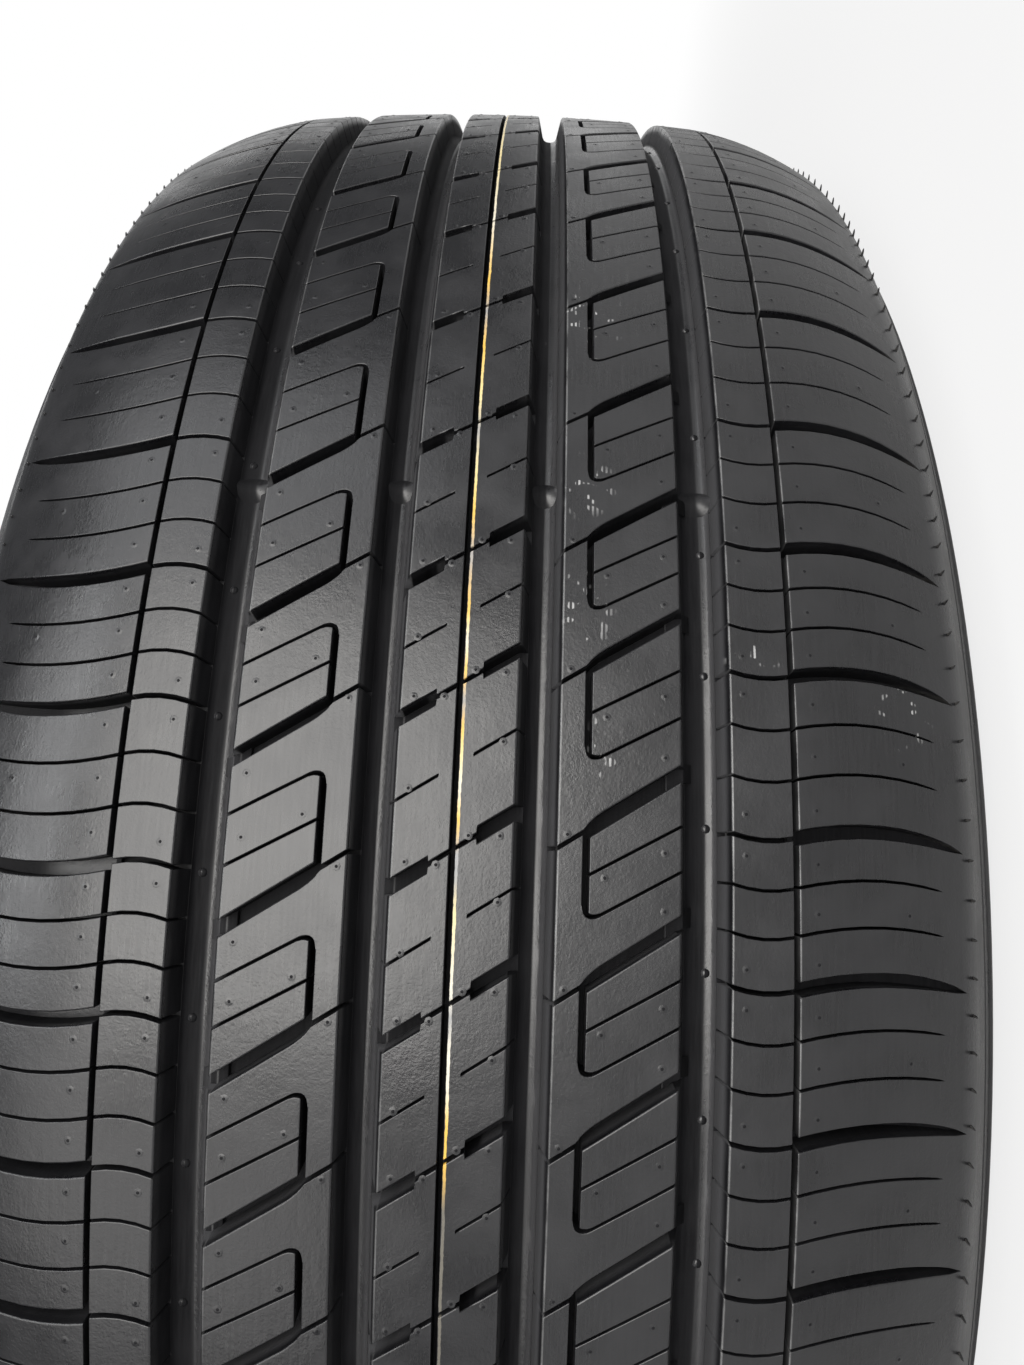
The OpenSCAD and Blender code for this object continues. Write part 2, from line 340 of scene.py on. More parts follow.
midEnds = ((0.22, 0.0), (ease, wallTan))
groundEnd = (ease, wallTan)
midParts = [
    cells([slitOut, 28, 35, midRib["to"]], lambda z, p: slotLine(z, p) + wide,
          lambda z, p: firstSipe(z, p) - sipe, ease, sipeEase, midEnds),
    cells([slitOut, 26.3, 27, 28, 35, midRib["to"]], lambda z, p: firstSipe(z, p) + sipe,
          lambda z, p: secondSipe(z, p) - hookHalf(z), sipeEase, sipeEase, midEnds),
    cells([slitAt, slitOut, 26.3, 27, 27.6, 28.2, 35, midRib["to"]], slitTop,
          lambda z, p: slotLine(z, p) + p - slotLow(z), sipeEase, ease, ((shared, 0.0), groundEnd)),
    cells([midRib["from"], 22, slitIn], lambda z, p: slotLine(z, p) + fine,
          lambda z, p: slitTop(slitIn + 0 * z, p), 0.2, shared, (groundEnd, (0.22, 0.0))),
    cells([midRib["from"], 22, slitIn - 0.02, slitIn + 0.12, slitIn + 0.32, slitAt],
          lambda z, p: slitTop(np.maximum(z, slitIn), p), lambda z, p: slotLine(z, p) + p - slotLow(z),
          lambda z: np.where(z < slitIn, shared, sipeEase), 0.2, (groundEnd, (shared, 0.0))),
]

# low bars that tie neighbouring blocks together where their slots meet the wide grooves
tieBar = {"length": 2.3, "sunk": 5.3, "into": 0.3, "ease": 0.3}
barEnds = ((tieBar["ease"], 0.0), (tieBar["ease"], wallTan))
barRows = [midRib["to"] - tieBar["length"], midRib["to"] + tieBar["sunk"] * wallTan]
midParts.append(cells(barRows, lambda z, p: slotLine(z, p) - wide - tieBar["into"],
                      lambda z, p: slotLine(z, p) + wide + tieBar["into"],
                      shared, shared, barEnds, 0, tieBar["sunk"]))

# narrow ribs
narrowRib = {"from": 52.5, "to": 64.25, "bow": 0.9, "sipes": (1 / 3, 0.65)}
narrowRows = [narrowRib["from"], 55.4, 58.4, 61.4, narrowRib["to"]]
wideGrooves = [(centreRib["to"], midRib["from"]), (midRib["to"], narrowRib["from"])]
narrowEnds = ((ease, wallTan), (0.22, 0.0))


def narrowLine(z, p, share):
    # a chord between the two ends, bowed up in its middle
    t = (z - narrowRib["from"]) / (thinAt - narrowRib["from"])
    return -0.5 * (1 - t) + narrowRib["bow"] * 4 * t * (1 - t) + share * p


def slices(rows, lineAt, shares, ends, mainHalf, sipeHalf, mainEase, halfEase):
    # the blocks between a main cut and its sipes, from one main cut to the next
    cuts = [(0.0, mainHalf, mainEase)]
    cuts += [(s, sipeHalf, halfEase) for s in shares] + [(1.0, mainHalf, mainEase)]
    made = []
    for (s0, h0, e0), (s1, h1, e1) in zip(cuts[:-1], cuts[1:]):
        made.append(cells(rows, lambda z, p, s=s0, h=h0: lineAt(z, p, s) + h(z),
                          lambda z, p, s=s1, h=h1: lineAt(z, p, s) - h(z), e0, e1, ends))
    return made


narrowParts = slices(narrowRows, narrowLine, narrowRib["sipes"], narrowEnds,
                     lambda z: fine + 0 * z, lambda z: sipe + 0 * z, 0.2, sipeEase)

# shoulders
shoulderRib = {
    "from": 65.35,
    "bow": 1.9,             # of the grooves, over a chord
    "chord": 31.5,
    "sipes": (1 / 3, 0.65),
    "sipeTo": 96.0,
    "cutTo": 101.5,
}
sipeTo, cutTo = shoulderRib["sipeTo"], shoulderRib["cutTo"]
shoulderRows = [shoulderRib["from"], 69, 73.5, 78, 82.5, 87, 91, 94.5, sipeTo, 98.5, sizes["cornerAt"], cutTo,
                103.2, sizes["faceEnd"]]


def shoulderLine(z, p, share):
    s = z - thinAt
    rad = (shoulderRib["chord"] ** 2 / 4 + shoulderRib["bow"] ** 2) / (2 * shoulderRib["bow"])
    dip = rad - shoulderRib["bow"] - np.sqrt(rad ** 2 - np.clip(s - shoulderRib["chord"] / 2, -30, 24) ** 2)
    return dip + share * p


def shoulderHalf(z):
    return np.interp(z, [65, 89, 98, cutTo], [1.38, 1.3, 0.75, 0.0])


def shoulderSipe(z):
    return np.interp(z, [65, 94, sipeTo], [0.29, 0.25, 0.0])


shoulderEnds = ((0.22, 0.0), (shared, 0.0))
shoulderParts = slices(shoulderRows, shoulderLine, shoulderRib["sipes"], shoulderEnds,
                       shoulderHalf, shoulderSipe,
                       lambda z: np.interp(z, [65, sipeTo, 101.4, cutTo], [0.4, 0.3, 0.1, shared]),
                       lambda z: np.interp(z, [65, 94, sipeTo], [sipeEase, 0.12, shared]))

treads = [joined("tread_centre", centreParts), joined("tread_mid_ribs", midParts),
          joined("tread_narrow_ribs", narrowParts), joined("tread_shoulders", shoulderParts)]
print("tread blocks:", sum(len(obj.data.polygons) for obj in treads), "faces")

# carcass
carcass = {
    "around": 240,          # faces round the tyre
    "wallStep": 2.6,        # spacing of rows down the sidewall
    "ringEdge": 0.3,        # width of the rings' sloping edges
    # plain rings on the sidewall: radius at the middle, width, height
    "rings": [(309.0, 1.2, -0.5), (303.5, 2.0, 0.5), (296.0, 0.9, 0.4), (268.0, 0.9, 0.4),
              (261.0, 0.8, -0.35), (244.6, 0.9, 0.35), (241.4, 0.7, 0.35)],
}


def curve(p, u, w, q, n):
    # from p along u to q along w, without its first point
    t = (np.arange(n) + 1)[:, None] / n
    p, u, w, q = (np.array(k, float) for k in (p, u, w, q))
    s = 1 - t
    return s ** 3 * p + 3 * s ** 2 * t * (p + u) + 3 * s * t ** 2 * (q - w) + t ** 3 * q


def arcAt(zc, xc, rad, a, b, n):
    t = np.linspace(a, b, n + 1)
    return np.stack([xc + rad * np.cos(t), zc + rad * np.sin(t)], 1)


def grooveFloor(zFrom, zTo):
    # from one foot of the plinths to the other: wall, fillet, flat floor, fillet, wall
    deep = faceAt((zFrom + zTo) / 2) - depths["groove"]
    points = []
    for zTop, way in ((zFrom, 1), (zTo, -1)):
        top = faceAt(zTop)
        foot = np.array([top - depths["slot"], zTop + way * (depths["slot"] * wallTan + 0.06)])
        corner = np.array([deep, zTop + way * ((top - deep) * wallTan + 0.06)])
        wall = unit(foot - corner)
        a = corner + wall * min(depths["fillet"], np.linalg.norm(foot - corner) * 0.9)
        b = corner + np.array([0, way]) * depths["fillet"]
        t = np.linspace(0, 1, 4)[:, None]
        turn = (1 - t) ** 2 * a + 2 * t * (1 - t) * corner + t ** 2 * b
        run = np.concatenate([[foot], turn])
        points.append(run if way == 1 else run[::-1])
    return np.concatenate(points)


def outerWall():
    # from the last of the blocks down to the toe of the bead, with the plain rings on it
    seatR, half = sizes["seatR"], sizes["sectionW"] / 2
    widest = ((outsideR + seatR) / 2, half)
    bevel = math.radians(bevelDeg)
    top = (cornerX + cornerRad * math.cos(bevel), cornerZ + cornerRad * math.sin(bevel))
    guardX, guardZ = seatR + 20, half - 7
    guardTop = guardZ + sizes["guardH"]
    above, ridge, below = (guardX + 6, guardZ), (guardX + 2.6, guardTop), (guardX - 3.2, guardTop - 1.4)
    path = np.concatenate([
        [[faceAt(sizes["faceEnd"]), sizes["faceEnd"]], top],
        curve(top, (-14 * math.sin(bevel), 14 * math.cos(bevel)), (-14, 0), widest, 40),
        curve(widest, (-14, 0), (-8, -4.5), above, 30),
        curve(above, (-1.6, -0.9), (-1.2, 0.3), ridge, 5),
        curve(ridge, (-2, -0.2), (-1.2, -1.6), below, 6),
        curve(below, (-1, -7), (-9, -1), (seatR + 8, sizes["beadOut"]), 24)])
    s = np.concatenate([[0], np.cumsum(np.linalg.norm(np.diff(path, axis=0), axis=1))])
    marks, steps = [], []
    for radius, width, h in carcass["rings"]:
        at = float(np.interp(-radius, -path[:, 0], s))
        edge = carcass["ringEdge"]
        marks += [at - width / 2 - edge, at - width / 2, at + width / 2, at + width / 2 + edge]
        steps.append((marks[-4:], h))
    grid = np.unique(np.round(np.concatenate([np.arange(0, s[-1], carcass["wallStep"]), marks, [s[-1]]]), 3))
    # rows that stand too close to a ring's edge go, but not the edges themselves
    away = np.abs(grid[:, None] - np.array(marks)).min(axis=1)
    keep = (away > 0.45) | np.isin(grid, np.round(marks, 3))
    keep[[0, -1]] = True
    grid = grid[keep]
    put = np.stack([np.interp(grid, s, path[:, 0]), np.interp(grid, s, path[:, 1])], 1)
    run = unit(np.gradient(put, grid, axis=0))
    outward = np.stack([run[:, 1], -run[:, 0]], 1)
    for edges, h in steps:
        put += outward * np.interp(grid, edges, [0, h, h, 0], left=0, right=0)[:, None]
    heel, toe = 6.0, sizes["beadOut"] - sizes["beadW"]
    heelArc = arcAt(sizes["beadOut"] - heel, seatR + heel, heel, math.pi / 2, math.pi, 8)[1:]
    return np.concatenate([put, heelArc, [[seatR, toe + 2.5], [seatR + 0.7, toe + 0.7], [seatR + 2.5, toe]]])


def innerWall():
    seatR, half = sizes["seatR"], sizes["sectionW"] / 2
    beadIn = sizes["beadOut"] - sizes["beadW"]
    widestR = (outsideR + seatR) / 2
    inner = half - sizes["sidewallT"]
    low = (seatR + 9, beadIn + 3.5)
    shoulder = (outsideR - sizes["crownT"] - 4.5, 79.0)
    return np.concatenate([[low],
        curve(low, (9, 9), (12, 7), (widestR - 24, inner - 6), 7),
        curve((widestR - 24, inner - 6), (8, 4.5), (8, 0), (widestR, inner), 6),
        curve((widestR, inner), (17, 0), (1.7, -18), shoulder, 12),
        curve(shoulder, (1.9, -26), (0, -26), (outsideR - sizes["crownT"], 0), 8)])


def atFace(z, deep):
    return [faceAt(z) - deep, z]


def atFloor(z):
    return [float(floorR(np.array(z))), z]


def halfProfile():
    # from the middle of the tread round the outside, and back inside to the middle
    slotD, thinD = depths["slot"], depths["thin"]
    return np.concatenate([
        [atFace(0.0, thinD), atFace(0.46, thinD), atFace(0.5, slotD), atFace(6.0, slotD)],
        grooveFloor(*wideGrooves[0]),
        [atFace(31.0, slotD)],
        grooveFloor(*wideGrooves[1]),
        [atFace(64.3, slotD), atFace(64.34, thinD), [crownEdge - thinD, 65.26], atFloor(65.3)],
        [atFloor(z) for z in (76.0, 88.0, 100.0, 102.6, 104.6)],
        outerWall(), innerWall()])


def carcassObject(name):
    # the half section and its mirror image, turned round the axle
    half = halfProfile()
    profile = np.concatenate([half, (half * [1, -1])[::-1][1:-1]])
    angles = np.linspace(0, 2 * np.pi, carcass["around"], endpoint=False)
    co = roundTyre(profile[:, :1] + 0 * angles, angles + 0 * profile[:, :1], profile[:, 1:] + 0 * angles)
    ids = np.arange(len(profile) * len(angles)).reshape(len(profile), -1)
    nxt = np.roll(ids, -1, 1)
    quads = np.stack([ids, nxt, np.roll(nxt, -1, 0), np.roll(ids, -1, 0)], -1).reshape(-1, 4)
    print("carcass:", len(profile), "rows,", len(quads), "faces")
    return makeObject(name, co.reshape(-1, 3), [quads], sharpDeg=34)


tyreBody = carcassObject("tyre_body")


# small moulded marks
def studs(r, angle, z, radius, height, sides, rings, sink=0.25):
    # low domes standing on the face: at t up the dome, a ring of radius cos(t) and height sin(t)
    turn = np.linspace(0, 2 * np.pi, sides, endpoint=False)
    circle = np.stack([np.cos(turn), np.sin(turn), 0 * turn], -1)
    dome = [circle * np.cos(t) + [0, 0, np.sin(t)] for t in np.linspace(0, np.pi / 2, rings + 1)[:-1]]
    local = np.concatenate([circle - [0, 0, sink / height], *dome, [[0, 0, 1]]]) * [radius, radius, height]
    tilt = (faceR(np.abs(z) + 0.05) - faceR(np.abs(z) - 0.05)) / 0.1 * np.sign(z)
    across = z[:, None] + local[None, :, 1]
    rr = r[:, None] + local[None, :, 2] + tilt[:, None] * local[None, :, 1]
    co = roundTyre(rr, angle[:, None] + local[None, :, 0] / r[:, None], across)
    ring = np.arange(rings + 1)[:, None] * sides + np.arange(sides)[None]
    nxt = np.roll(ring, -1, 1)
    quads = np.stack([ring[:-1], nxt[:-1], nxt[1:], ring[1:]], -1).reshape(-1, 4)
    top = (rings + 1) * sides
    tris = np.stack([ring[-1], nxt[-1], np.full(sides, top)], -1)
    base = np.stack([np.zeros(sides - 2, int), ring[0][2:], ring[0][1:-1]], -1)
    caps = np.concatenate([tris, base])
    shift = np.arange(len(z))[:, None, None] * (top + 1)
    return co.reshape(-1, 3), (quads + shift).reshape(-1, 4), (caps + shift).reshape(-1, 3)


def studObject(name, *parts):
    # one object from one or more lots of studs
    at = np.concatenate([[0], np.cumsum([len(co) for co, quads, tris in parts])])
    return makeObject(name, np.concatenate([p[0] for p in parts]),
                      [np.concatenate([p[n] + k for p, k in zip(parts, at)]) for n in (1, 2)], sharpDeg=60)


ventMarks = {
    "radius": 0.85,
    "height": 0.07,
    "pip": (0.4, 0.13),     # radius and height of the dull middle
    # distance across, place as a share of the block, and mm more
    "at": [(55.2, 0.13, 0.0), (55.2, 0.87, 0.0), (39.8, 0.47, -9.5), (39.8, 0.85, -9.5), (28.5, 0.39, -2.3),
           (21.4, -0.05, 2.3), (8.8, 0.1, -1.2), (8.8, 0.53, -1.2), (2.9, -0.03, 2.6), (69.0, 0.17, 0.0),
           (69.0, 0.5, 0.0), (69.0, 0.83, 0.0), (88.0, 0.5, 0.0)],
}
grooveBumps = {"radius": 0.95, "height": 0.5, "at": 49.0, "turnDeg": -0.27}


def onBlocks(z, share, add):
    # the same place on every block of both halves
    v = share * pitch[:, 0] + add
    return (np.concatenate([blockFrom + v / outsideR, blockFrom + blockTurn + halfTurn - v / outsideR]),
            np.concatenate([np.full(len(v), z), np.full(len(v), -z)]))


placed = [onBlocks(*k) for k in ventMarks["at"]]
ventAngle, ventZ = (np.concatenate([p[i] for p in placed]) for i in (0, 1))
ventR = faceR(np.abs(ventZ))
ventSize, pipSize = (ventMarks["radius"], ventMarks["height"]), ventMarks["pip"]
ventObj = studObject("vent_marks", studs(ventR, ventAngle, ventZ, *ventSize, 8, 2))
pipObj = studObject("vent_pips", studs(ventR, ventAngle, ventZ, *pipSize, 7, 2))

bumpAngle, bumpZ = onBlocks(grooveBumps["at"], 0.0, math.radians(grooveBumps["turnDeg"]) * outsideR)
bumpR = faceR(np.abs(bumpZ)) - depths["groove"]
bumpObj = studObject("groove_bumps", studs(bumpR, bumpAngle, bumpZ, grooveBumps["radius"],
                                           grooveBumps["height"], 10, 3))

wearBars = {"places": 6, "firstDeg": 24.0 - 90.0, "length": 9.0, "height": 1.3}


def wearBar(zFrom, zTo, angle, rows=13, cols=9):
    # a smooth hump across a wide groove's floor: height (h + s) cos(t)^2 - s along it, where
    # s sinks its ends below the floor, and c^2 more towards the walls
    sunk = 0.35
    sign = np.sign(zFrom)
    lean = depths["groove"] * wallTan - 0.6
    z = np.linspace(zFrom + sign * lean, zTo - sign * lean, cols)
    t = np.linspace(-0.5, 0.5, rows)
    high = (wearBars["height"] + sunk) * np.cos(np.pi * t) ** 2 - sunk
    base = faceAt(abs(zFrom + zTo) / 2) - depths["groove"]
    turn = (angle + t * wearBars["length"] / outsideR)[:, None] + 0 * z
    rise = 0.9 * np.linspace(-1, 1, cols)[None] ** 2 * np.cos(np.pi * t)[:, None] ** 2
    top = roundTyre((base + high)[:, None] + rise, turn, z[None] + 0 * turn)
    low = roundTyre(base - 0.8 + 0 * turn, turn, z[None] + 0 * turn)
    ids = np.arange(rows * cols).reshape(rows, cols)
    up = np.stack([ids[:-1, :-1], ids[1:, :-1], ids[1:, 1:], ids[:-1, 1:]], -1).reshape(-1, 4)
    rim = np.concatenate([ids[:, 0], ids[-1, 1:], ids[-2::-1, -1], ids[0, -2:0:-1]])
    nxt = np.roll(rim, -1)
    side = np.stack([nxt, rim, rim + rows * cols, nxt + rows * cols], -1)
    quads = np.concatenate([up, up[:, ::-1] + rows * cols, side])
    return np.concatenate([top.reshape(-1, 3), low.reshape(-1, 3)]), quads if sign > 0 else quads[:, ::-1]


barCo, barQ, barAt = [], [], 0
for k in range(wearBars["places"]):
    barAngle = math.radians(wearBars["firstDeg"] + 360 / wearBars["places"] * k)
    for zFrom, zTo in wideGrooves:
        for sign in (1, -1):
            points, quads = wearBar(sign * zFrom, sign * zTo, barAngle)
            barCo.append(points)
            barQ.append(quads + barAt)
            barAt += len(points)
barObj = makeObject("wear_bars", np.concatenate(barCo), [np.concatenate(barQ)], sharpDeg=50)

whiskers = {
    "count": 264,
    "radius": 0.34,
    "heights": (0.8, 2.1),  # on the +Z side and on the -Z side
    "z": 103.0,
}
whiskerStep = 2 * np.pi / whiskers["count"]
jitter = np.sin(np.arange(whiskers["count"]) * 12.9898) * 0.5
whiskerAngle = np.arange(whiskers["count"]) * whiskerStep + jitter * whiskerStep * 0.35
whiskerParts = []
for side, height in zip((1, -1), whiskers["heights"]):
    whiskerZ = side * whiskers["z"] + jitter * 1.2
    whiskerR = faceR(np.abs(whiskerZ))
    whiskerParts.append(studs(whiskerR, whiskerAngle, whiskerZ, whiskers["radius"], height, 6, 2))
whiskerObj = studObject("mould_whiskers", *whiskerParts)
print("small marks:", len(ventZ), "vents,", len(bumpZ), "bumps,", 2 * whiskers["count"], "whiskers")


# shader groups
def newGroup(name, vectors, values, outputs):
    # vectors names the vector inputs, values the number inputs and their first values, and
    # outputs gives the kind of each output
    group = bpy.data.node_groups.new(name, "ShaderNodeTree")
    for label in vectors:
        group.interface.new_socket(name=label, in_out="INPUT", socket_type="NodeSocketVector")
    for label, value in values.items():
        socket = group.interface.new_socket(name=label, in_out="INPUT", socket_type="NodeSocketFloat")
        socket.default_value = value
    for label, kind in outputs.items():
        group.interface.new_socket(name=label, in_out="OUTPUT", socket_type="NodeSocket" + kind)
    return group, group.nodes.new("NodeGroupInput").outputs, group.nodes.new("NodeGroupOutput").inputs


def wire(tree, source, target):
    if isinstance(source, (int, float, tuple)):
        target.default_value = source
    else:
        tree.links.new(source, target)


def calc(tree, operation, a, b=0.0, clamp=False):
    node = tree.nodes.new("ShaderNodeMath")
    node.operation = operation
    node.use_clamp = clamp
    wire(tree, a, node.inputs[0])
    wire(tree, b, node.inputs[1])
    return node.outputs[0]


def plus(tree, a, b):
    return calc(tree, "ADD", a, b)


def minus(tree, a, b):
    return calc(tree, "SUBTRACT", a, b)


def times(tree, a, b):
    return calc(tree, "MULTIPLY", a, b)


def over(tree, a, b):
    return calc(tree, "DIVIDE", a, b)


def ramp(tree, value, low, high, toLow=0.0, toHigh=1.0):
    # smoothly from toLow where value is low to toHigh where it is high
    node = tree.nodes.new("ShaderNodeMapRange")
    node.interpolation_type = "SMOOTHSTEP"
    labels = ("Value", "From Min", "From Max", "To Min", "To Max")
    for source, label in zip((value, low, high, toLow, toHigh), labels):
        wire(tree, source, node.inputs[label])
    return node.outputs["Result"]


def noise(tree, vector, scale, detail=3.0, rough=0.5):
    node = tree.nodes.new("ShaderNodeTexNoise")
    for source, label in zip((vector, scale, detail, rough), ("Vector", "Scale", "Detail", "Roughness")):
        wire(tree, source, node.inputs[label])
    return node.outputs["Fac"]


def blend(tree, factor, a, b):
    node = tree.nodes.new("ShaderNodeMix")
    node.data_type = "RGBA"
    wire(tree, factor, node.inputs["Factor"])
    wire(tree, a, node.inputs[6])
    wire(tree, b, node.inputs[7])
    return node.outputs[2]


def splitVector(tree, vector):
    node = tree.nodes.new("ShaderNodeSeparateXYZ")
    tree.links.new(vector, node.inputs[0])
    return node.outputs


def flatVector(tree, x, y):
    node = tree.nodes.new("ShaderNodeCombineXYZ")
    tree.links.new(x, node.inputs[0])
    tree.links.new(y, node.inputs[1])
    return node.outputs[0]


def tyrePlaceGroup():
    # angle in degrees round the axle (0 where the camera looks, more up the picture),
    # place across the tread, radius and depth under the tread's face in millimetres
    tree, given, put = newGroup("tyrePlace", ["Position"], {},
                                {"Angle": "Float", "Across": "Float", "Radius": "Float", "Depth": "Float",
                                 "Unrolled": "Vector"})
    x, y, z = splitVector(tree, given["Position"])
    down = times(tree, y, -1.0)
    turn = times(tree, calc(tree, "ARCTAN2", x, down), 180 / math.pi)
    far = calc(tree, "SQRT", plus(tree, times(tree, x, x), times(tree, y, y)))
    across = times(tree, z, 1000.0)
    radius = times(tree, far, 1000.0)
    # the face falls by z^2 / (2 crownRad), then past the thin groove by t (0.14 + 0.005 t)
    side = calc(tree, "ABSOLUTE", across)
    crown = calc(tree, "MINIMUM", side, thinAt)
    past = calc(tree, "MAXIMUM", minus(tree, side, thinAt), 0.0)
    fall = plus(tree, over(tree, times(tree, crown, crown), 2 * sizes["crownRad"]),
               times(tree, past, plus(tree, times(tree, past, 0.005), 0.14)))
    tree.links.new(turn, put["Angle"])
    tree.links.new(across, put["Across"])
    tree.links.new(radius, put["Radius"])
    tree.links.new(minus(tree, minus(tree, outsideR, fall), radius), put["Depth"])
    tree.links.new(flatVector(tree, times(tree, turn, math.pi / 180 * outsideR), across), put["Unrolled"])
    return tree


def rubberGrainGroup():
    # fine grain of moulded rubber as a height, and a mottling mask; both sizes in millimetres
    tree, given, put = newGroup("rubberGrain", ["Position"], {"Grain Size": 0.5, "Mottle Size": 12.0},
                                {"Height": "Float", "Mottle": "Float"})
    grainScale = over(tree, 1000.0, given["Grain Size"])
    mottleScale = over(tree, 1000.0, given["Mottle Size"])
    fineGrain = noise(tree, given["Position"], grainScale, 2.0, 0.6)
    broad = noise(tree, given["Position"], times(tree, grainScale, 0.22), 3.0, 0.6)
    tree.links.new(plus(tree, times(tree, fineGrain, 0.6), times(tree, broad, 0.9)), put["Height"])
    tree.links.new(noise(tree, given["Position"], mottleScale, 4.0, 0.55), put["Mottle"])
    return tree


def paintLineGroup(stops):
    # a thin ragged stripe round the tyre whose colour changes with the angle, over and over
    first, period = 8.0, 72.0
    tree, given, put = newGroup("paintLine", ["Position"],
                                {"Angle": 0.0, "Across": 0.0, "Radius": 0.0, "Centre": -0.95,
                                 "Half Width": 0.27},
                                {"Mask": "Float", "Colour": "Color"})
    wobble = minus(tree, noise(tree, given["Position"], 130.0, 2.0), 0.5)
    rag = minus(tree, noise(tree, given["Position"], 900.0, 2.0), 0.5)
    centre = plus(tree, given["Centre"], times(tree, wobble, 0.35))
    width = plus(tree, given["Half Width"], times(tree, rag, 0.32))
    away = calc(tree, "ABSOLUTE", minus(tree, given["Across"], centre))
    inside = ramp(tree, minus(tree, width, away), -0.06, 0.08)
    high = ramp(tree, given["Radius"], outsideR - 1.0, outsideR - 0.5)
    tree.links.new(calc(tree, "MULTIPLY", inside, high, clamp=True), put["Mask"])
    turned = over(tree, plus(tree, given["Angle"], first + 5 * period), period)
    table = tree.nodes.new("ShaderNodeValToRGB")
    tree.links.new(calc(tree, "FRACT", turned), table.inputs[0])
    elements = table.color_ramp.elements
    while len(elements) < len(stops):
        elements.new(0.5)
    for element, (angle, colour) in zip(elements, stops):
        element.position = (angle + first) / period
        element.color = colour + (1.0,)
    tree.links.new(table.outputs[0], put["Colour"])
    return tree


def mouldStreaksGroup():
    # faint rubs that run round the tyre, from noise drawn out along it
    tree, given, put = newGroup("mouldStreaks", ["Unrolled"], {"Length": 9.0, "Width": 0.7},
                                {"Streaks": "Float"})
    x, y, z = splitVector(tree, given["Unrolled"])
    drawn = flatVector(tree, over(tree, x, given["Length"]), over(tree, y, given["Width"]))
    tree.links.new(ramp(tree, noise(tree, drawn, 1.0, 3.0, 0.6), 0.3, 0.75), put["Streaks"])
    return tree


def edgeLineGroup():
    # a broken pale line round the tyre along an edge: a painted highlight where the edge faces the lamps
    tree, given, put = newGroup("edgeLine", ["Unrolled"],
                                {"Across": 0.0, "At": 0.0, "Half Width": 0.25, "Amount": 0.5},
                                {"Mask": "Float"})
    away = calc(tree, "ABSOLUTE", minus(tree, given["Across"], given["At"]))
    inside = ramp(tree, away, given["Half Width"], 0.0)
    patches = noise(tree, given["Unrolled"], 0.08, 4.0, 0.65)
    broken = ramp(tree, patches, minus(tree, 0.85, given["Amount"]), 0.75)
    tree.links.new(times(tree, inside, broken), put["Mask"])
    return tree


def scuffGroup():
    # rows of short pale dashes inside a soft oval patch: a sine wave across the tread, kept
    # where a noise is high
    tree, given, put = newGroup("scuffs", ["Unrolled"],
                                {"At Angle": 0.0, "At Across": 0.0, "Reach Round": 6.0, "Reach Across": 6.0,
                                 "Amount": 0.5}, {"Mask": "Float"})
    x, y, z = splitVector(tree, given["Unrolled"])
    along = minus(tree, x, times(tree, given["At Angle"], math.pi / 180 * outsideR))
    u = over(tree, along, given["Reach Round"])
    w = over(tree, minus(tree, y, given["At Across"]), given["Reach Across"])
    far = calc(tree, "SQRT", plus(tree, times(tree, u, u), times(tree, w, w)))
    near = ramp(tree, far, 1.0, 0.35)
    squeeze = tree.nodes.new("ShaderNodeMapping")
    tree.links.new(given["Unrolled"], squeeze.inputs["Vector"])
    squeeze.inputs["Scale"].default_value = (0.4, 0.3, 1.0)
    edge = minus(tree, 0.74, times(tree, given["Amount"], 0.2))
    kept = ramp(tree, noise(tree, squeeze.outputs[0], 1.0, 1.0, 0.5), edge, plus(tree, edge, 0.06))
    wave = calc(tree, "SINE", times(tree, y, 2 * math.pi / 0.95))
    dashes = times(tree, kept, ramp(tree, wave, -0.3, 0.6))
    tree.links.new(times(tree, dashes, near), put["Mask"])
    return tree


def vectorStep(tree, operation, a, b=None):
    node = tree.nodes.new("ShaderNodeVectorMath")
    node.operation = operation
    wire(tree, a, node.inputs[0])
    if b is not None:
        wire(tree, b, node.inputs[1])
    return node.outputs


def innerLinerGroup():
    # the inside of the tyre: a mask for it, and the fine slanted lines of the curing bladder.
    # The mask is high where -n.radial - n.z sign(z) is, between the beads and the tread.
    tree, given, put = newGroup("innerLiner", ["Position", "Normal", "Unrolled"],
                                {"Across": 0.0, "Radius": 0.0, "Spacing": 12.0},
                                {"Mask": "Float", "Lines": "Float"})
    flat = vectorStep(tree, "MULTIPLY", given["Position"], (1.0, 1.0, 0.0))[0]
    radial = vectorStep(tree, "NORMALIZE", flat)[0]
    outward = vectorStep(tree, "DOT_PRODUCT", radial, given["Normal"])["Value"]
    side = calc(tree, "SIGN", given["Across"])
    sideways = times(tree, splitVector(tree, given["Normal"])[2], side)
    facing = ramp(tree, plus(tree, outward, sideways), 0.0, -0.25)
    pastBead = ramp(tree, given["Radius"], 236.0, 241.0)
    underTread = ramp(tree, given["Radius"], 321.0, 319.5)
    mask = calc(tree, "MULTIPLY", facing, times(tree, pastBead, underTread), clamp=True)
    tree.links.new(mask, put["Mask"])
    x, y, z = splitVector(tree, given["Unrolled"])
    slant = over(tree, plus(tree, x, y), given["Spacing"])
    lines = ramp(tree, calc(tree, "SINE", times(tree, slant, 2 * math.pi)), 0.86, 1.0)
    tree.links.new(times(tree, lines, mask), put["Lines"])
    return tree


yellow, cream, white, grey = (0.72, 0.43, 0.06), (0.68, 0.56, 0.28), (0.64, 0.6, 0.5), (0.28, 0.28, 0.28)
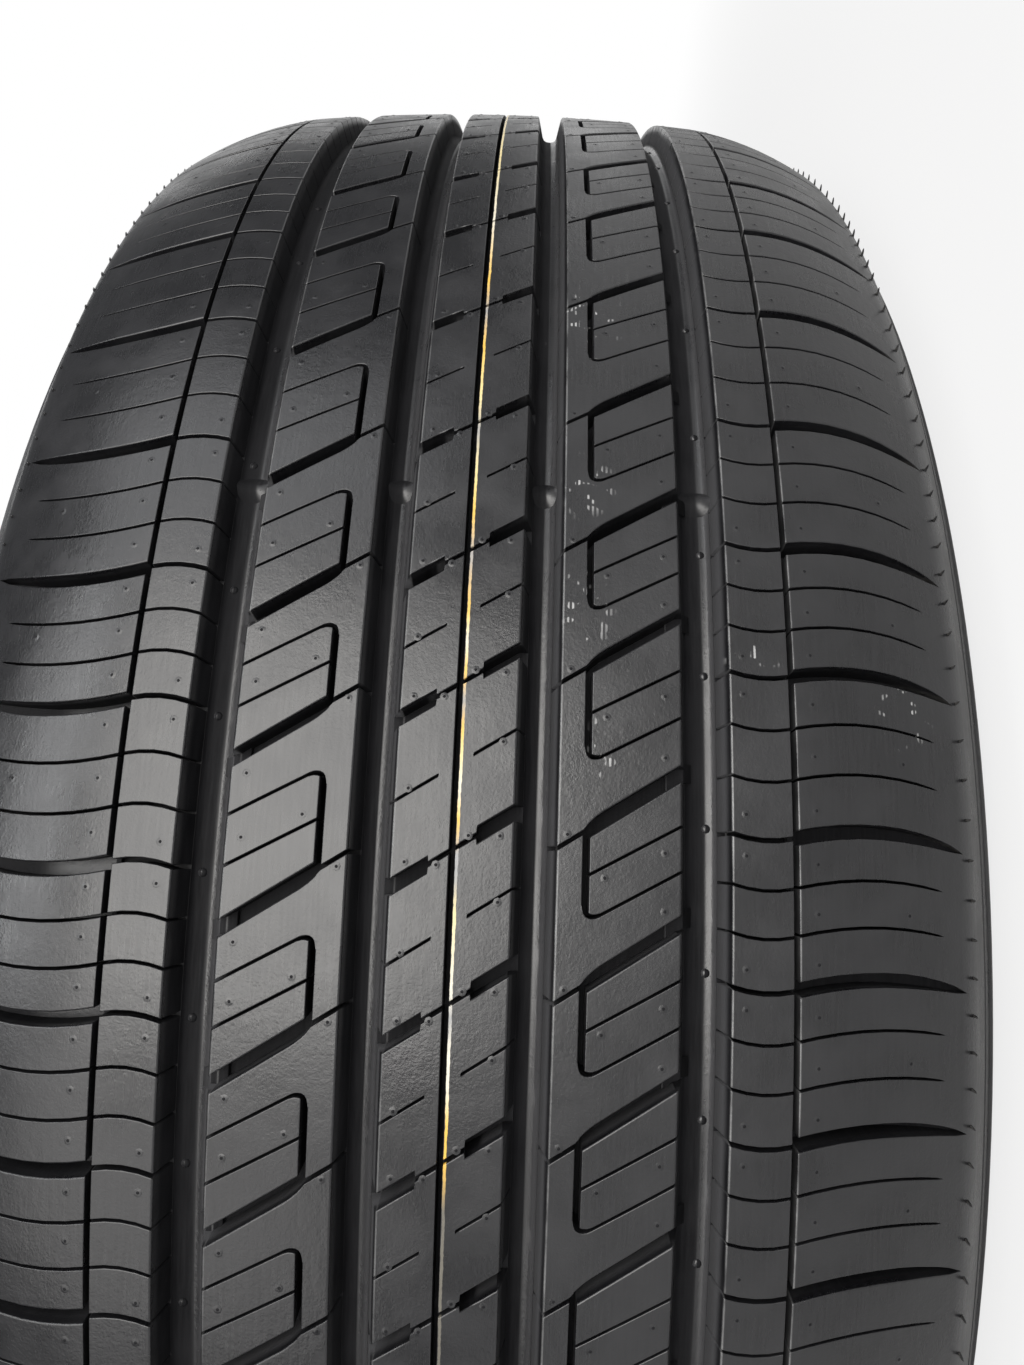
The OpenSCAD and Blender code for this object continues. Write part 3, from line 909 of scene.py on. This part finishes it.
# angle up the picture from the camera's level, then the stripe's colour there
paintStops = [(-7.5, (0.11, 0.1, 0.08)), (-0.6, (0.12, 0.11, 0.09)), (0.9, yellow), (2.0, yellow),
              (3.1, white), (4.2, white), (5.2, grey), (6.2, white), (8.5, cream), (9.5, grey), (10.4, grey),
              (11.4, yellow), (12.4, white), (13.4, cream), (14.4, yellow), (15.3, grey), (16.4, yellow),
              (17.4, white), (18.5, yellow), (20.6, grey), (22.3, yellow), (24.2, cream), (25.9, grey),
              (27.4, cream), (30.2, yellow), (32.2, grey), (34.2, yellow), (38.8, white), (45.6, cream),
              (60.0, white)]
placeNodes = tyrePlaceGroup()
grainNodes = rubberGrainGroup()
paintNodes = paintLineGroup(paintStops)
scuffNodes = scuffGroup()
streakNodes = mouldStreaksGroup()
edgeNodes = edgeLineGroup()
linerNodes = innerLinerGroup()

# rubber
rubber = {
    "colour": (0.005, 0.005, 0.006, 1.0),
    "dusty": (0.013, 0.013, 0.0145, 1.0),     # paler bloom in patches
    "specular": 0.7,
    "scuffAndHighlightColour": (0.42, 0.42, 0.42, 1.0),         # scuffs, and the painted highlights along rib edges
    "scuffAndHighlightShare": 0.75,
    # patches of scuffs: angle up the picture, place across, reach round and across, amount
    "scuffs": [(23.6, -23.5, 9.0, 8.0, 0.75), (18.8, -24.0, 12.0, 7.0, 0.7), (14.0, -27.8, 9.0, 4.0, 0.7),
               (17.5, -57.5, 4.0, 10.0, 0.7), (15.8, -89.0, 9.0, 8.0, 0.6), (32.0, -24.0, 14.0, 10.0, 0.55)],
    # painted highlights along the rib edges that face +Z, towards the lamps: place across, strength
    "edgeHighlights": [(-19.7, 0.5), (-52.7, 0.5), (-65.5, 0.5), (11.15, 0.3), (42.65, 0.3)],
    "roughness": (0.27, 0.37),
    "deepSpecular": 0.15,                     # grooves and slots are duller
    "filletSpecular": 0.7,                    # their rounded feet on one side catch the light
    "paintedWallLight": (0.055, 0.055, 0.058, 1.0),    # painted light: a paler colour on the groove and slot walls that face +Z, where the lamps light them
    "deepRough": 0.4,
    "streak": 0.8,
    "polish": 0.05,                           # the streaks are smoother
    "grain": 0.35,                            # bump strength
    "talc": (0.05, 0.048, 0.045, 1.0),        # dust on the inner liner
    "talcRough": 0.12,
    "bladder": 2.5,                           # height of the liner's lines, in grains
    "paintRough": 0.6,
}


def addGroup(tree, group, **values):
    node = tree.nodes.new("ShaderNodeGroup")
    node.node_tree = group
    for label, value in values.items():
        wire(tree, value, node.inputs[label.replace("_", " ")])
    return node.outputs


def newMaterial(name):
    material = bpy.data.materials.new(name)
    material.use_nodes = True
    tree = material.node_tree
    position = tree.nodes.new("ShaderNodeTexCoord").outputs["Object"]
    return material, tree, tree.nodes["Principled BSDF"].inputs, position


def dullMaterial(name):
    # flat black for the vents' pips
    material, tree, shader, position = newMaterial(name)
    grain = addGroup(tree, grainNodes, Position=position, Grain_Size=0.3, Mottle_Size=2.0)
    colour = blend(tree, grain["Mottle"], rubber["colour"], rubber["dusty"])
    tree.links.new(colour, shader["Base Color"])
    shader["Roughness"].default_value = 0.7
    shader["Specular IOR Level"].default_value = 0.15
    return material


def scuffAndHighlightMask(tree, place):
    # the strongest of all scuffs and painted edge highlights, on the tread's face only
    mask = 0.0
    for angle, across, reachRound, reachAcross, amount in rubber["scuffs"]:
        patch = addGroup(tree, scuffNodes, Unrolled=place["Unrolled"], At_Angle=angle, At_Across=across,
                         Reach_Round=reachRound, Reach_Across=reachAcross, Amount=amount)
        mask = calc(tree, "MAXIMUM", mask, patch["Mask"])
    # painted highlights: pale lines along the rib edges that face +Z, towards the lamps
    for at, strength in rubber["edgeHighlights"]:
        edge = addGroup(tree, edgeNodes, Unrolled=place["Unrolled"], Across=place["Across"], At=at,
                        Half_Width=0.3, Amount=0.6)
        mask = calc(tree, "MAXIMUM", mask, times(tree, edge["Mask"], strength))
    return times(tree, mask, ramp(tree, place["Radius"], 319.0, 321.0))


def rubberMaterial(name, withPaint):
    material, tree, shader, position = newMaterial(name)
    place = addGroup(tree, placeNodes, Position=position)
    grain = addGroup(tree, grainNodes, Position=position, Grain_Size=0.55, Mottle_Size=14.0)
    normal = tree.nodes.new("ShaderNodeNewGeometry").outputs["Normal"]
    upward = splitVector(tree, normal)[2]

    # bloom, streaks, scuffs and painted edge highlights
    streaks = addGroup(tree, streakNodes, Unrolled=place["Unrolled"], Length=11.0, Width=0.6)["Streaks"]
    colour = blend(tree, ramp(tree, grain["Mottle"], 0.35, 0.75), rubber["colour"], rubber["dusty"])
    colour = blend(tree, times(tree, streaks, rubber["streak"]), colour, rubber["dusty"])
    # the scuffs' pale colour, also used for the painted highlights along rib edges
    colour = blend(tree, times(tree, scuffAndHighlightMask(tree, place), rubber["scuffAndHighlightShare"]), colour, rubber["scuffAndHighlightColour"])
    rough = ramp(tree, grain["Mottle"], 0.3, 0.7, *rubber["roughness"])

    # the inside's dust
    liner = addGroup(tree, linerNodes, Position=position, Normal=normal, Unrolled=place["Unrolled"],
                     Across=place["Across"], Radius=place["Radius"], Spacing=12.0)
    dust = times(tree, liner["Mask"], ramp(tree, grain["Mottle"], 0.2, 0.7, 0.35, 0.9))
    colour = blend(tree, dust, colour, rubber["talc"])
    rough = plus(tree, rough, times(tree, liner["Mask"], rubber["talcRough"]))
    rough = minus(tree, rough, times(tree, streaks, rubber["polish"]))
    if withPaint:
        stripe = addGroup(tree, paintNodes, Position=position, Angle=place["Angle"], Across=place["Across"],
                          Radius=place["Radius"])
        colour = blend(tree, stripe["Mask"], colour, stripe["Colour"])
        rough = calc(tree, "MAXIMUM", rough, times(tree, stripe["Mask"], rubber["paintRough"]))

    # grooves and slots
    tread = ramp(tree, calc(tree, "ABSOLUTE", place["Across"]), 104.0, 101.0)
    deep = times(tree, ramp(tree, place["Depth"], 0.7, 3.2), tread)
    foot = times(tree, ramp(tree, place["Depth"], 5.9, 6.9), ramp(tree, upward, 0.0, 0.16))
    fillet = times(tree, foot, tread)
    dull = ramp(tree, deep, 0.0, 1.0, rubber["specular"], rubber["deepSpecular"])
    unlit = times(tree, deep, minus(tree, 1.0, fillet))
    rough = plus(tree, rough, times(tree, unlit, rubber["deepRough"]))
    # painted light: groove and slot walls that face +Z, towards the lamps, are made paler
    paintedWallLight = times(tree, deep, ramp(tree, upward, 0.05, 0.7))
    colour = blend(tree, paintedWallLight, colour, rubber["paintedWallLight"])

    bump = tree.nodes.new("ShaderNodeBump")
    bump.inputs["Strength"].default_value = rubber["grain"]
    bump.inputs["Distance"].default_value = 0.0002
    raised = times(tree, liner["Lines"], rubber["bladder"])
    tree.links.new(plus(tree, grain["Height"], raised), bump.inputs["Height"])
    tree.links.new(colour, shader["Base Color"])
    tree.links.new(rough, shader["Roughness"])
    tree.links.new(ramp(tree, fillet, 0.0, 1.0, dull, rubber["filletSpecular"]), shader["Specular IOR Level"])
    tree.links.new(bump.outputs["Normal"], shader["Normal"])
    return material


treadRubber = rubberMaterial("tread_rubber", True)
wallRubber = rubberMaterial("wall_rubber", False)
pipRubber = dullMaterial("pip_rubber")
for obj in treads + [tyreBody, ventObj, pipObj, bumpObj, barObj, whiskerObj]:
    obj.data.materials.append({treads[0]: treadRubber, pipObj: pipRubber}.get(obj, wallRubber))
    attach(obj, "root")
    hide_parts("tyre")
print("materials done")

# studio
studio = {
    "floorColour": (0.62, 0.62, 0.62, 1.0),
    "reach": 6.0, "wallAt": 4.5, "wallTop": 3.5,
    "world": 0.14,
    # watts, angle up the picture, angle towards its left, distance, size round and across, colour
    "key": (30.0, 14.0, 16.5, 1.75, (1.45, 1.25), (1.0, 0.98, 0.95)),
    "strip": (7.0, 19.0, 50.0, 1.75, (1.2, 0.33), (0.98, 0.99, 1.0)),
    "top": (6.0, 56.0, 25.0, 1.9, (0.8, 1.3), (0.97, 0.98, 1.0)),
    "low": (6.0, -27.0, 27.0, 1.9, (0.8, 1.4), (1.0, 0.98, 0.96)),
}


def stagePiece(name, corners, seen, mirrored):
    # a pale flat piece of the studio. It glows white where it is seen, so that its edge is
    # lost: seen and mirrored give the glow's share near the tyre, where its shadow stays, and
    # how far out the share is whole, for the camera's rays and for mirrored or refracted ones.
    mesh = bpy.data.meshes.new(name)
    mesh.from_pydata(corners, [], [(0, 1, 2, 3)])
    obj = bpy.data.objects.new(name, mesh)
    bpy.context.scene.collection.objects.link(obj)
    material = bpy.data.materials.new(name + "_paint")
    material.use_nodes = True
    tree = material.node_tree
    tree.nodes.clear()
    diffuse = tree.nodes.new("ShaderNodeBsdfDiffuse")
    diffuse.inputs["Color"].default_value = studio["floorColour"]
    glow = tree.nodes.new("ShaderNodeEmission")
    place = addGroup(tree, placeNodes, Position=tree.nodes.new("ShaderNodeTexCoord").outputs["Object"])
    path = tree.nodes.new("ShaderNodeLightPath")
    bent = calc(tree, "MAXIMUM", path.outputs["Is Glossy Ray"], path.outputs["Is Transmission Ray"])
    shares = [times(tree, rays, ramp(tree, place["Radius"], 340.0, out, near, 1.0))
              for rays, (near, out) in ((path.outputs["Is Camera Ray"], seen), (bent, mirrored))]
    mix = tree.nodes.new("ShaderNodeMixShader")
    tree.links.new(calc(tree, "MAXIMUM", *shares), mix.inputs[0])
    tree.links.new(diffuse.outputs[0], mix.inputs[1])
    tree.links.new(glow.outputs[0], mix.inputs[2])
    tree.links.new(mix.outputs[0], tree.nodes.new("ShaderNodeOutputMaterial").inputs[0])
    mesh.materials.append(material)
    return obj


floorZ = cadBox[0][2]
reach, wallAt, wallTop = studio["reach"], studio["wallAt"], studio["wallTop"]
floor = stagePiece("floor", [(-reach, -reach, floorZ), (reach, -reach, floorZ),
                             (reach, reach, floorZ), (-reach, reach, floorZ)], (0.8, 650.0), (0.1, 1400.0))
backdrop = stagePiece("backdrop", [(-reach, wallAt, floorZ), (reach, wallAt, floorZ),
                                   (reach, wallAt, wallTop), (-reach, wallAt, wallTop)],
                      (1.0, 650.0), (1.0, 1400.0))

world = bpy.data.worlds.new("studio_world")
bpy.context.scene.world = world
world.use_nodes = True
tree = world.node_tree
tree.nodes.clear()
out = tree.nodes.new("ShaderNodeOutputWorld")
soft = tree.nodes.new("ShaderNodeBackground")
soft.inputs["Color"].default_value = (0.95, 0.97, 1.0, 1.0)
soft.inputs["Strength"].default_value = studio["world"]
plain = tree.nodes.new("ShaderNodeBackground")
plain.inputs["Color"].default_value = (1.0, 1.0, 1.0, 1.0)
plain.inputs["Strength"].default_value = 1.0
path = tree.nodes.new("ShaderNodeLightPath")
mix = tree.nodes.new("ShaderNodeMixShader")
tree.links.new(path.outputs["Is Camera Ray"], mix.inputs[0])
tree.links.new(soft.outputs[0], mix.inputs[1])
tree.links.new(plain.outputs[0], mix.inputs[2])
tree.links.new(mix.outputs[0], out.inputs[0])


def areaLight(name, watts, size, position, target, colour):
    data = bpy.data.lights.new(name, "AREA")
    data.shape = "RECTANGLE"
    data.size, data.size_y = size
    data.energy = watts
    data.color = colour
    obj = bpy.data.objects.new(name, data)
    back = unit(np.array(position) - np.array(target))
    side = unit(np.cross([0.2, 0.1, 1.0], back))
    turn = Matrix(np.column_stack([side, np.cross(back, side), back]).tolist()).to_4x4()
    obj.matrix_world = Matrix.Translation(position) @ turn
    bpy.context.scene.collection.objects.link(obj)
    return obj


def around(angleDeg, raiseDeg, far):
    # a place seen from the tyre's middle: angle up the picture, then raised towards its left
    a, e = math.radians(angleDeg - 90), math.radians(raiseDeg)
    return (far * math.cos(a) * math.cos(e), far * math.sin(a) * math.cos(e), far * math.sin(e))


front = (0.06, -0.33, 0.0)
for lamp in ("key", "strip", "top", "low"):
    watts, angle, raised, far, size, colour = studio[lamp]
    areaLight(lamp, watts, size, around(angle, raised, far), front, colour)

# camera
view = {
    "position": (0.09194, -0.51444, -0.01170),
    "right": (0.03385, 0.00863, -0.99939),
    "up": (0.99943, -0.00084, 0.03385),
    "lens": 26.367,
}
cameraData = bpy.data.cameras.new("camera")
cameraData.lens = view["lens"]
cameraData.sensor_width = 36.0
cameraData.clip_start = 0.01
camera = bpy.data.objects.new("camera", cameraData)
right = unit(np.array(view["right"]))
back = unit(np.cross(right, view["up"]))
turn = Matrix(np.column_stack([right, np.cross(back, right), back]).tolist()).to_4x4()
camera.matrix_world = Matrix.Translation(view["position"]) @ turn
bpy.context.scene.collection.objects.link(camera)
bpy.context.scene.camera = camera
bpy.context.scene.view_settings.view_transform = "Standard"
